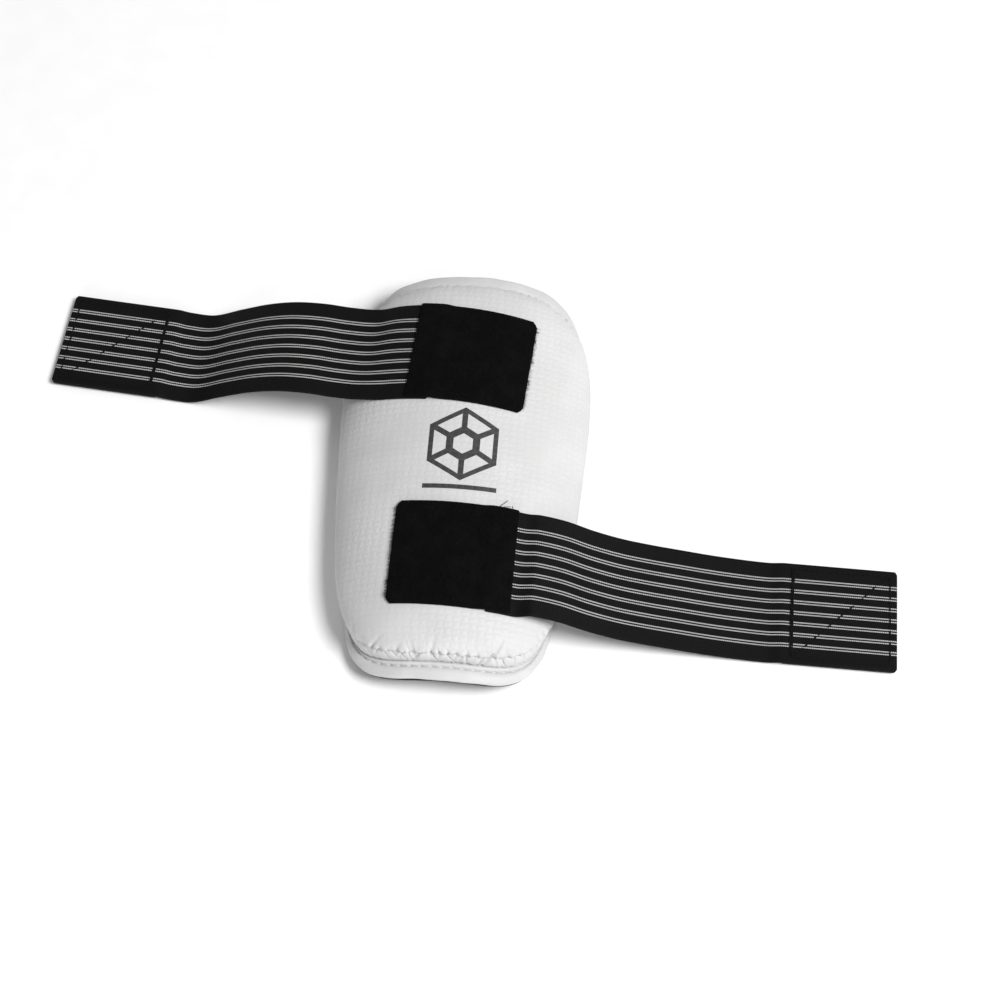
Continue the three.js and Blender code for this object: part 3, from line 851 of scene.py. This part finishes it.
def print_film(name, loops, replaced):
    """A thin film of ink over the face, cut into small facets so that it follows the foam."""
    mesh = bmesh.new()
    for loop in loops:
        verts = [mesh.verts.new((x, y, 0)) for x, y in loop]
        for k, vert in enumerate(verts):
            mesh.edges.new((vert, verts[(k + 1) % len(verts)]))
    bmesh.ops.triangle_fill(mesh, edges=mesh.edges[:], use_beauty=True)
    for axis, normal in ((0, (1, 0, 0)), (1, (0, 1, 0))):
        reach = [v.co[axis] for v in mesh.verts]
        for cut in np.arange(min(reach) + PRINT_CELL, max(reach), PRINT_CELL):
            place = [cut if axis == k else 0 for k in range(3)]
            geometry = mesh.verts[:] + mesh.edges[:] + mesh.faces[:]
            bmesh.ops.bisect_plane(mesh, geom=geometry, plane_co=place, plane_no=normal)
    bmesh.ops.triangulate(mesh, faces=mesh.faces[:])
    bmesh.ops.recalc_face_normals(mesh, faces=mesh.faces[:])
    mesh.verts.index_update()
    flat = np.array([v.co[:2] for v in mesh.verts])
    top = np.array([[v.index for v in face.verts] for face in mesh.faces])
    if sum(face.normal.z for face in mesh.faces) < 0:
        top = top[:, ::-1]
    used = {(a, b) for tri in top.tolist() for a, b in zip(tri, tri[1:] + tri[:1])}
    rim = np.array(sorted((a, b) for a, b in used if (b, a) not in used))
    mesh.free()
    count = len(flat)
    walls = np.vstack([
        np.stack([rim[:, 1], rim[:, 0], rim[:, 0] + count], 1),
        np.stack([rim[:, 1], rim[:, 0] + count, rim[:, 1] + count], 1),
    ])
    faces = np.vstack([top, top[:, ::-1] + count, walls])
    upper = on_face(flat[:, 0], flat[:, 1], 0.09)
    lower = on_face(flat[:, 0], flat[:, 1], 0.02)
    place = np.column_stack([flat * ARCH_RADIUS / (ARCH_RADIUS + 18.8), np.zeros(count)])
    piece = add_mesh(name, np.vstack([upper, lower]), faces, np.vstack([place, place]), smooth=False)
    finish_piece(piece, INK, replaced=replaced)


# ---- Straps ----

def hang_height(strap, out):
    """Height of a free strap's underside: a smooth curve through its hanging places."""
    out = np.asarray(out, float)
    xs, zs = np.array(strap["hang"] + HANGING_END, float).T
    slopes = np.zeros(len(xs))
    slopes[1:-1] = (zs[2:] - zs[:-2]) / (xs[2:] - xs[:-2])
    slopes[0] = (zs[1] - zs[0]) / (xs[1] - xs[0])
    slopes[-2:] = 0
    i = np.clip(np.searchsorted(xs, out, side="left") - 1, 0, len(xs) - 2)
    span = xs[i + 1] - xs[i]
    t = np.clip((out - xs[i]) / span, 0, 1)
    ends = zs[i] * (1 + 2 * t) * (1 - t) ** 2 + zs[i + 1] * (3 - 2 * t) * t**2
    return ends + span * (slopes[i] * t * (1 - t) ** 2 - slopes[i + 1] * (1 - t) * t**2)


def strap_place(strap, out, side):
    turn = math.radians(strap["heading"])
    x = strap["x"] + out * math.cos(turn) - side * math.sin(turn)
    y = strap["y"] + out * math.sin(turn) + side * math.cos(turn)
    return x, y


def strap_underside(strap, out, side):
    """Heights of the webbing's underside: on the pad's face, then free."""
    out, side = np.broadcast_arrays(np.asarray(out, float), np.asarray(side, float))
    heights = hang_height(strap, out)
    near = out < strap["leaves"][1]
    if near.any():
        x, y = strap_place(strap, out[near], side[near])
        face = on_face(x, y)[:, 2] + ON_FACE
        free = smoothstep(out[near], *strap["leaves"])
        heights = heights.copy()
        heights[near] = face * (1 - free) + heights[near] * free
    return heights


def patch_climb(out):
    return smoothstep(out, ROOT_START - 6.5, ROOT_START + 0.5) * (STRAP_THICKNESS + 0.05)


def patch_underside(strap, out, side):
    out, side = np.broadcast_arrays(np.asarray(out, float), np.asarray(side, float))
    x, y = strap_place(strap, out, side)
    return on_face(x, y)[..., 2] + ON_FACE + patch_climb(out)


def section(thickness, top_count=64, bottom_count=24, edge_count=5):
    """Points round a flat band's cross-section: (share of half-width, edge inset, lift)."""
    radius = thickness / 2
    top = [(s, 0, thickness) for s in np.linspace(-1, 1, top_count)]
    bottom = [(s, 0, 0) for s in np.linspace(1, -1, bottom_count)]
    turns = np.linspace(math.pi / 2, -math.pi / 2, edge_count + 2)[1:-1]
    right = [(1, radius * math.cos(t), radius + radius * math.sin(t)) for t in turns]
    left = [(-1, -inset, lift) for _, inset, lift in right[::-1]]
    return np.array(top + right + bottom + left)


def rolled_end(out, half, radius, direction):
    """Rows (out, half-width, share of thickness) that roll a band's end over."""
    turns = np.linspace(0, math.pi / 2, 5)[1:]
    return [
        (out + direction * radius * (math.sin(t) - 1), half - radius * (1 - math.cos(t)),
         max(math.cos(t), 0.12)) for t in turns
    ]


def band(name, strap, outs, half_width, thickness, underside, rolled=(True, True), shift=0.0):
    """A flat band along a strap, closed at both ends.

    half_width is a number or one for each of outs. rolled says which ends, (start, end), are
    rolled over; the others are cut square, where the next piece of the strap carries on."""
    shape = section(thickness)
    radius = thickness / 2
    half = np.broadcast_to(np.asarray(half_width, float), outs.shape)
    low = outs[0] + radius if rolled[0] else -math.inf
    high = outs[-1] - radius if rolled[1] else math.inf
    rows = [(out, wide, 1.0) for out, wide in zip(outs, half) if low < out < high]
    if rolled[0]:
        rows = rolled_end(outs[0], half[0], radius, -1)[::-1] + rows
    if rolled[1]:
        rows = rows + rolled_end(outs[-1], half[-1], radius, 1)
    out, wide, fat = np.array(rows).T
    side = (wide[:, None] - radius) * shape[None, :, 0] + shape[None, :, 1] + shift
    lift = (shape[None, :, 2] - radius) * fat[:, None] + radius
    out_grid = np.broadcast_to(out[:, None], side.shape)
    x, y = strap_place(strap, out_grid, side)
    points = np.stack([x, y, underside(strap, out_grid, side) + lift], -1)
    flat = np.stack([out_grid, side, lift], -1)
    columns = len(shape)
    quads = grid_faces(len(rows), columns)[:, ::-1]
    k = np.arange(columns)
    fans = []
    for end, row in enumerate((0, len(rows) - 1)):
        centre = np.full(columns, len(rows) * columns + end)
        fan = np.stack([row * columns + k, row * columns + (k + 1) % columns, centre], 1)
        fans.append(fan[:, ::-1] if end else fan)
    piece = add_mesh(
        name,
        np.vstack([points.reshape(-1, 3), points[0].mean(0), points[-1].mean(0)]),
        np.vstack([quads[:, [0, 1, 2]], quads[:, [0, 2, 3]], *fans]),
        np.vstack([flat.reshape(-1, 3), flat[0].mean(0), flat[-1].mean(0)]),
    )
    sharpen_rows(piece, columns, [0, len(rows) - 1])
    return piece


def sharpen_rows(piece, columns, rows):
    """Mark the edges round these rows of a band sharp, so that its cut ends don't shade its top."""
    ends = np.array([edge.vertices[:] for edge in piece.data.edges]) // columns
    sharp = (ends[:, 0] == ends[:, 1]) & np.isin(ends[:, 0], rows)
    piece.data.edges.foreach_set("use_edge_sharp", sharp)


# The four lengths of webbing: the ends of each, and the CAD nodes that it stands for. Each one
# crosses a hinge.
SPLITS = [ROOT_START, 46, 80, 119, STRAP_END]
LENGTH_NODES = [["root", "inner"], ["middle"], ["outer"], ["tip"]]
CORNER_ROUND = 1.6


def webbing_half(outs):
    """The webbing's half-width, whose corners are a little round at the strap's end."""
    past = np.clip(outs - (STRAP_END - CORNER_ROUND), 0, None)
    round_off = CORNER_ROUND - np.sqrt(np.clip(CORNER_ROUND**2 - past**2, 0, None)) * 0.6
    return np.minimum(STRAP_HALF - round_off + 0.4 * CORNER_ROUND, STRAP_HALF)


def make_webbing(strap):
    name = strap["name"]
    for k, hinge in enumerate(HINGES):
        start, end = SPLITS[k], SPLITS[k + 1]
        outs = np.linspace(start, end, int((end - start) / 0.9) + 1)
        piece = band(
            f"{name}_webbing_{'abcd'[k]}", strap, outs, webbing_half(outs), STRAP_THICKNESS,
            strap_underside, rolled=(k == 0, k == 3),
        )
        nodes = [f"{name}_strap_{node}" for node in LENGTH_NODES[k]]
        finish_piece(piece, ELASTIC, body=None, replaced=nodes)
        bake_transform(piece)


PATCH_SIDE = 24.9  # half the patch's width
PATCH_CHAMFER = 2.2
PATCH_SEAM = 3.0  # the stitching's distance from the patch's edges


def chamfered_half(outs):
    """The patch's half-width: its free corners are cut off at 45 degrees."""
    return PATCH_SIDE - np.clip(PATCH_CHAMFER - (outs + PATCH_HALF), 0, None)


def make_patch(strap):
    name = strap["name"]
    outs = np.linspace(-PATCH_HALF, PATCH_HALF, 72)
    outs = np.unique(np.concatenate([outs, [-PATCH_HALF + PATCH_CHAMFER]]))
    shift = 0.3 * strap["up"]

    def underside(strap, out, side):
        pile = 0.10 * np.sin(out * 1.9 + np.sin(side * 0.9)) * np.sin(side * 1.6)
        return patch_underside(strap, out, side) + pile * (np.abs(side) < PATCH_SIDE - 1.9)

    def seam_height(out, side):
        return patch_underside(strap, out, side) + PATCH_THICKNESS - 0.06

    piece = band(
        f"{name}_loop_pile", strap, outs, chamfered_half(outs), PATCH_THICKNESS, underside,
        shift=shift,
    )
    finish_piece(piece, PILE, replaced=[f"{name}_loop_patch"])
    make_fibres(strap, shift)

    out, side = PATCH_HALF - PATCH_SEAM, PATCH_SIDE - 0.3 - PATCH_SEAM
    corners = [(-out, -side), (out, -side), (out, side), (-out, side)]
    rows = list(zip(corners, corners[1:] + corners[:1]))
    stitches = stitch_rows(strap, rows, 3.0, 2.0, seam_height)
    piece = capsules(f"{name}_patch_stitching", stitches, 0.16, 6)
    finish_piece(piece, BLACK_THREAD, replaced=[f"{name}_patch_thread"])


def stitch_rows(strap, rows, pitch, length, height_at):
    """Paths of stitches along straight rows on a strap, dipping at both ends."""
    paths = []
    for (out_a, side_a), (out_b, side_b) in rows:
        distance = math.hypot(out_b - out_a, side_b - side_a)
        count = max(1, round(distance / pitch))
        for k in range(count):
            middle = (k + 0.5) / count
            reach = length / 2 / distance
            share = np.linspace(middle - reach, middle + reach, 7)
            skew = RANDOM.uniform(-0.12, 0.12, 2)
            out = out_a + (out_b - out_a) * share + skew[0]
            side = side_a + (side_b - side_a) * share + skew[1]
            x, y = strap_place(strap, out, side)
            dip = np.linspace(-1, 1, 7) ** 4
            paths.append(np.stack([x, y, height_at(out, side) - 0.3 * dip], -1))
    return paths


PILE_FIBRES = 2600
FRINGE_FIBRES = 520
TAB_THICKNESS = 0.95
HOOK_HEIGHT = 0.8  # from the hooks' tips to the tab's plate
HOOK_PITCH = 1.7


def make_fibres(strap, shift):
    """Short curled fibres over a loop patch and a looser fringe along its edges."""
    out = RANDOM.uniform(-PATCH_HALF + 0.6, PATCH_HALF - 0.6, PILE_FIBRES)
    side = RANDOM.uniform(-1, 1, PILE_FIBRES) * (chamfered_half(out) - 0.6) + shift
    headings = RANDOM.uniform(0, 2 * math.pi, PILE_FIBRES)
    paths = curled(strap, out, side, headings, (0.5, 1.1), 0.45, sunk=0.05)

    free_end = FRINGE_FIBRES * 45 // 100
    across = RANDOM.uniform(-22, 22, free_end) + shift
    out = np.full(free_end, -PATCH_HALF + 0.3)
    headings = RANDOM.normal(math.pi, 0.6, free_end)
    paths += curled(strap, out, across, headings, (0.6, 2.3), 0.15, sunk=0.5, droop=0.5)
    for edge in (-1, 1):
        count = (FRINGE_FIBRES - free_end) // 2
        out = RANDOM.uniform(-PATCH_HALF + 3, PATCH_HALF, count)
        side = np.full(count, edge * (PATCH_SIDE - 0.5)) + shift
        headings = RANDOM.normal(edge * math.pi / 2, 0.6, count)
        paths += curled(strap, out, side, headings, (0.3, 0.9), 0.15, sunk=0.5, droop=0.5)
    piece = capsules(f"{strap['name']}_pile_fibres", paths, 0.055, 4)
    finish_piece(piece, FIBRE)


def curled(strap, out, side, heading, length, rise, sunk, droop=0.0):
    """Paths of fibres that leave a patch at (out, side), this far below its top, and lean towards
    heading. Each one rises and curls, and droops at its tip."""
    root = patch_underside(strap, out, side) + PATCH_THICKNESS - sunk
    sizes = RANDOM.uniform(*length, len(out))
    lifts = RANDOM.uniform(0.4, 1.0, len(out)) * rise
    bends = RANDOM.normal(0, 0.9, len(out))
    share = np.linspace(0, 1, 4)
    paths = []
    for k in range(len(out)):
        turn = heading[k] + bends[k] * share
        reach = sizes[k] * share
        x, y = strap_place(strap, out[k] + reach * np.cos(turn), side[k] + reach * np.sin(turn))
        z = root[k] + lifts[k] * np.sin(math.pi * share * 0.8) - droop * share**2
        paths.append(np.stack([x, y, z], -1))
    return paths


def make_tab(strap):
    """The moulded hook tab under the strap's end, with rows of hooks, and its stitching."""
    name = strap["name"]
    body = f"{name}_tip"
    outs = np.linspace(TAB_START, STRAP_END - 1, 30)

    def underside(strap, out, side):
        return np.full(out.shape, HOOK_HEIGHT)

    def seam_height(out, side):
        return strap_underside(strap, out, side) + STRAP_THICKNESS + 0.12

    base = band(f"{name}_hook_base", strap, outs, STRAP_HALF - 0.2, TAB_THICKNESS, underside)
    hooks = hook_field(strap)
    finish_piece(base, HOOK, body=body, replaced=[f"{name}_hook_tab"])
    finish_piece(hooks, HOOK, body=body)

    low, high, edge = TAB_START + 3.2, STRAP_END - 3.4, STRAP_HALF - 3
    box_and_diagonal = [
        ((low, -edge), (high, -edge)), ((high, -edge), (high, edge)), ((high, edge), (low, edge)),
        ((low + 2, -edge + 1), (high - 2, edge - 1)),
    ]
    heavy_inner_rows = [
        ((low, edge + 0.6), (low - 0.2, -edge)), ((low + 0.9, -edge), (low + 0.6, edge)),
        ((low + 0.2, -edge + 2), (low + 1.1, edge - 2)),
    ]
    paths = stitch_rows(strap, box_and_diagonal, 2.9, 2.6, seam_height)
    paths += stitch_rows(strap, heavy_inner_rows, 2.6, 3.0, seam_height)
    piece = capsules(f"{name}_tab_stitching", paths, 0.40, 6)
    finish_piece(
        piece, BLACK_THREAD, body=body, replaced=[f"{name}_tab_thread"]
    )


def hook_field(strap):
    """Rows of small hooks that stand down from the tab: a stem and a crook, one mesh."""
    stem = np.array([(0, 0.1), (0.02, -0.35), (0.16, -0.62), (0.42, -0.60), (0.52, -0.4)])
    paths = []
    for i, out in enumerate(np.arange(TAB_START + 1.5, STRAP_END - 2.4, HOOK_PITCH)):
        odd = i % 2
        sides = np.arange(-STRAP_HALF + 1.6, STRAP_HALF - 1.4, HOOK_PITCH) + odd * HOOK_PITCH / 2
        for side in sides[sides <= STRAP_HALF - 1.4]:
            lean = 1 if odd else -1
            x, y = strap_place(strap, out + lean * stem[:, 0], np.full(len(stem), side))
            paths.append(np.stack([x, y, HOOK_HEIGHT + stem[:, 1]], -1))
    return capsules(f"{strap['name']}_hooks", paths, 0.13, 4)


def make_loose_threads():
    """Three thread tails that were left uncut at the lower patch's upper edge."""
    strap = STRAPS[1]
    tails = [
        [(17.6, 23.6, 0.0), (18.6, 25.2, 0.6), (20.2, 27.0, 0.9), (21.6, 28.6, 0.5), (22.4, 29.8, 0.1)],
        [(17.9, 23.6, 0.1), (19.3, 25.0, 0.9), (21.2, 25.8, 1.3), (22.9, 26.4, 0.8), (24.0, 27.0, 0.1)],
        [(24.5, 23.8, 0.0), (24.9, 25.0, 0.6), (25.0, 26.0, 0.7), (24.8, 26.8, 0.3), (24.6, 27.4, 0)],
    ]
    paths = []
    for tail in tails:
        out, side, lift = np.array(tail).T
        fine = np.linspace(0, len(tail) - 1, 13)
        out, side, lift = (np.interp(fine, np.arange(len(tail)), v) for v in (out, side, lift))
        x, y = strap_place(strap, out, side)
        on_patch = np.clip((25.4 - side) / 1.2, 0, 1)
        z = on_face(x, y)[:, 2] + 0.2 + lift + on_patch * (PATCH_THICKNESS + STRAP_THICKNESS)
        paths.append(np.stack([x, y, z], -1))
    piece = capsules("thread_tails", paths, 0.13, 6)
    finish_piece(piece, BLACK_THREAD)


make_face()
make_gusset()
make_border()
make_lining()
make_foams()
make_border_stitches()
make_seam_stitches()
print_film("emblem_hexagon", emblem_loops(), ["emblem_print"])
print_film("emblem_underline", bar_loops(), ["emblem_bar"])
for strap in STRAPS:
    make_webbing(strap)
    make_patch(strap)
    make_tab(strap)
make_loose_threads()


# ---- Studio ----

FLOOR_REACH = 6.0
FLOOR_HEIGHT = -0.0004


def make_floor():
    mesh = bpy.data.meshes.new("studio_floor")
    signs = [(-1, -1), (1, -1), (1, 1), (-1, 1)]
    corners = [(a * FLOOR_REACH, b * FLOOR_REACH, FLOOR_HEIGHT) for a, b in signs]
    mesh.from_pydata(corners, [], [(0, 1, 2, 3)])
    mesh.materials.append(floor_paper())
    add_object("studio_floor", mesh)


def aim(made, place, direction):
    made.location = place
    made.rotation_mode = "QUATERNION"
    made.rotation_quaternion = direction.to_track_quat("-Z", "Y")


def make_light(name, place, size, watts):
    light = bpy.data.lights.new(name, "AREA")
    light.shape = "DISK"
    light.size = size
    light.energy = watts
    aim(add_object(name, light), place, -Vector(place))


def make_studio():
    make_floor()
    make_light("key_light", (1.65, -0.55, 2.45), 1.3, 92)
    make_light("fill_light", (-0.2, -1.6, 0.5), 1.2, 6.5)
    world = bpy.data.worlds.new("studio_world")
    world.use_nodes = True
    background = world.node_tree.nodes["Background"]
    background.inputs["Color"].default_value = (1, 1, 1, 1)
    background.inputs["Strength"].default_value = 0.29
    bpy.context.scene.world = world
    bpy.context.scene.view_settings.view_transform = "Standard"


CAMERA_TARGET = Vector((0.0192, -0.0044, 0.0))
CAMERA_DISTANCE = 0.905
CAMERA_AZIMUTH = math.radians(4.3)
CAMERA_ELEVATION = math.radians(64)
CAMERA_LENS = 68.4
CAMERA_SENSOR = 36


def make_camera():
    data = bpy.data.cameras.new("photo_camera")
    data.sensor_width = CAMERA_SENSOR
    data.lens = CAMERA_LENS
    data.clip_start = 0.01
    camera = add_object("photo_camera", data)
    back = Vector((
        math.sin(CAMERA_AZIMUTH) * math.cos(CAMERA_ELEVATION),
        -math.cos(CAMERA_AZIMUTH) * math.cos(CAMERA_ELEVATION),
        math.sin(CAMERA_ELEVATION),
    ))
    aim(camera, CAMERA_TARGET + back * CAMERA_DISTANCE, -back)
    bpy.context.scene.camera = camera


make_studio()
make_camera()
